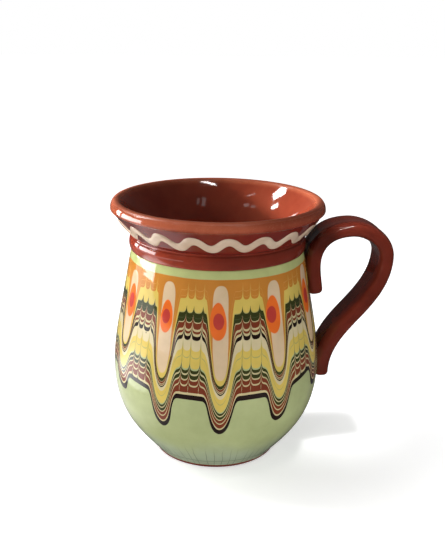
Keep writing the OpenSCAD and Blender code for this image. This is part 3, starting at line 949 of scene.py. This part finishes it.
def make_panes():
    for i, (turn, up, wide, tall, out, glow) in enumerate(PANES):
        flat = heading(turn)*math.cos(math.radians(up))
        at = NECK_MIDDLE + out*vec(flat.x, flat.y, math.sin(math.radians(up)))
        width, height = (2*out*math.tan(math.radians(v/2)) for v in (wide, tall))
        area_light(f"pane_{i}", at, NECK_MIDDLE, width, height, math.pi*glow*width*height)


# The soft fills, under the rim so that the inside stays dark: turn, distance, height, power. Their width
# and height are shares of their distance.
FILLS = [(-97, 0.9, 0.055, 3.2), (-45, 0.14, 0.012, 0.033)]
FILL_W, FILL_H = 0.9, 0.09


def make_fills():
    """Wide low lights that the glaze doesn't mirror."""
    belly = vec(0, 0, BELLY_Z*MM)
    for i, (turn, out, up, power) in enumerate(FILLS):
        way = heading(turn)*out
        ob = area_light(f"fill_{i}", vec(way.x, way.y, up), belly, FILL_W*out, FILL_H*out, power)
        ob.visible_glossy = ob.visible_camera = False


# Narrow lights, from the left into the mouth and from over the handle: where each one is, where it points,
# its cone in degrees and its power
SPOTS = [
    (vec(-0.282, 0.103, 0.17), vec(0.033, 0.004, 0.087), 14, 7.5),
    (vec(0.09, -0.03, 0.4), vec(0.06, 0, 0.094), 10, 5),
]
SPOT_SIZE = 0.02


def make_spots():
    """Lights that the glaze doesn't mirror, on the mouth's right side and on the handle's crown."""
    for i, (at, aim, cone, power) in enumerate(SPOTS):
        light = bpy.data.lights.new(f"spot_{i}", "SPOT")
        light.spot_size, light.spot_blend = math.radians(cone), 1
        light.shadow_soft_size = SPOT_SIZE
        light.energy = power
        ob = hang(light, at, aim)
        ob.visible_glossy = ob.visible_camera = False


# A thin light close by, which shows as a line on the handle's crown: where it is, where it points, its
# sides in metres and how bright it is
LINE_AT, LINE_AIM = vec(0.0534, -0.0206, 0.1035), vec(0.0612, -0.0128, 0.0919)
LINE_W, LINE_H, LINE_GLOW = 0.0003, 0.02, 170


def make_line():
    line = area_light("line", LINE_AT, LINE_AIM, LINE_W, LINE_H, math.pi*LINE_GLOW*LINE_W*LINE_H)
    line.visible_camera = False


# The even light's strength on the left, on the right and from overhead, and what the glaze mirrors of it
SKY_LEVEL, SKY_RIGHT_LEVEL, SKY_OVERHEAD, SKY_MIRRORED = 1.5, 0.5, 0.1, 0.06
# How far up it fades, as the height of a direction, and where it falls off to the right
SKY_TOP = 0.15
SKY_LEFT, SKY_RIGHT = -0.2, 0.8
WHITE = (1, 1, 1, 1)


def for_rays(tree, shader, ray, strength):
    """A world that is as it was, but white at this strength to one kind of ray."""
    nodes, links = tree.nodes, tree.links
    path, other, mix = (nodes.new(f"ShaderNode{kind}") for kind in ("LightPath", "Background", "MixShader"))
    other.inputs[0].default_value = WHITE
    other.inputs[1].default_value = strength
    links.new(path.outputs[ray], mix.inputs[0])
    links.new(shader.outputs[0], mix.inputs[1])
    links.new(other.outputs[0], mix.inputs[2])
    return mix


def make_world():
    """Soft light from the sides, less on the right, overhead and in the glaze, and white to the camera."""
    world = bpy.data.worlds.new("studio")
    world.use_nodes = True
    tree = world.node_tree
    nodes, links = tree.nodes, tree.links
    where, split = nodes.new("ShaderNodeTexCoord"), nodes.new("ShaderNodeSeparateXYZ")
    links.new(where.outputs["Generated"], split.inputs[0])

    def graded(value, low, high, start, end):
        node = nodes.new("ShaderNodeMapRange")
        for socket, v in zip(node.inputs[1:], (low, high, start, end)):
            socket.default_value = v
        links.new(value, node.inputs[0])
        return node
    around = graded(split.outputs[0], SKY_LEFT, SKY_RIGHT, SKY_LEVEL, SKY_RIGHT_LEVEL)
    fade = graded(split.outputs[2], 0, SKY_TOP, SKY_LEVEL, SKY_OVERHEAD)
    links.new(around.outputs[0], fade.inputs[3])
    shader = nodes["Background"]
    shader.inputs[0].default_value = WHITE
    links.new(fade.outputs[0], shader.inputs[1])
    shader = for_rays(tree, shader, "Is Glossy Ray", SKY_MIRRORED)
    shader = for_rays(tree, shader, "Is Camera Ray", 1)
    links.new(shader.outputs[0], nodes["World Output"].inputs[0])
    bpy.context.scene.world = world


# The floor: half its side in metres, its colour, and its colours in the glaze, in front of the mug and
# behind it, with the places between which these change
FLOOR_HALF = 3
FLOOR_PALE, FLOOR_FRONT, FLOOR_BEHIND = colour(235, 235, 235), colour(110, 110, 110), colour(70, 70, 70)
BEHIND_FADE = 0.12, 0.3
# Its glow to the camera, which keeps it white: from one distance to another, from one strength to another
SEEN_GLOW = 0.03, 0.16, 0.58, 0.95
# A painted glow of daylight on the floor at the left, which only the glaze mirrors, as a painted reflection.
# Further off: its near edge, its two sides with their softness, and its glow by distance. Close by: its
# edges, its two sides and its glow.
BESIDE_FADE, BESIDE_SIDES, BESIDE_GLOW = (-0.097, -0.107), (-0.035, 0.075, 0.025), (0.18, 0.45, 3, 0.3)
CLOSE_EDGES, CLOSE_SIDES, CLOSE_GLOW = (-0.098, -0.045, 0.012), (-0.045, 0.08, 0.025), 0.78


def floor_material():
    """Pale, and white to the camera away from the mug's shadow, with a painted glow at the left that only
    the glaze mirrors.
    """
    g = Graph("pale_floor")
    path = g.tree.nodes.new("ShaderNodeLightPath")
    x, y, _ = g.split(g.place)
    away = g.math("SQRT", g.add(g.mul(x, x), g.mul(y, y)))
    dull = g.mix(g.fit(y, *BEHIND_FADE), FLOOR_FRONT, FLOOR_BEHIND)
    shade = g.mix(path.outputs["Is Glossy Ray"], FLOOR_PALE, dull)
    seen = g.mul(path.outputs["Is Camera Ray"], g.fit(away, *SEEN_GLOW))
    # A painted glow for the glaze to mirror as a reflection
    beside = g.mul(g.mul(g.fit(x, *BESIDE_FADE), between(g, y, *BESIDE_SIDES)), g.fit(away, *BESIDE_GLOW))
    close = g.mul(g.mul(between(g, x, *CLOSE_EDGES), between(g, y, *CLOSE_SIDES)), CLOSE_GLOW)
    mirrored = g.mul(path.outputs["Is Glossy Ray"], g.add(beside, close))
    return g.finish(Base_Color=shade, Roughness=0.9, Emission_Color=WHITE,
                    Emission_Strength=g.add(seen, mirrored))


def make_floor():
    mesh = bpy.data.meshes.new("floor")
    corners = [(FLOOR_HALF*a, FLOOR_HALF*b, 0) for a, b in ((-1, -1), (1, -1), (1, 1), (-1, 1))]
    mesh.from_pydata(corners, [], [(0, 1, 2, 3)])
    mesh.materials.append(floor_material())
    ob = bpy.data.objects.new("floor", mesh)
    bpy.context.scene.collection.objects.link(ob)


def place_piece(ob, node, material):
    ob.data.materials.append(material)
    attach(ob, "root")
    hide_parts(node)


place_camera()
make_floor()
make_world()
make_panes()
make_fills()
make_spots()
make_line()
bpy.context.scene.view_settings.view_transform = "Standard"

place_piece(make_pot(), "body", pot_material())
place_piece(make_handle(), "handle", strap_material())
place_piece(make_coat(), "slip_coat", slip_material())
place_piece(make_wave(), "wave_trail", wave_material())
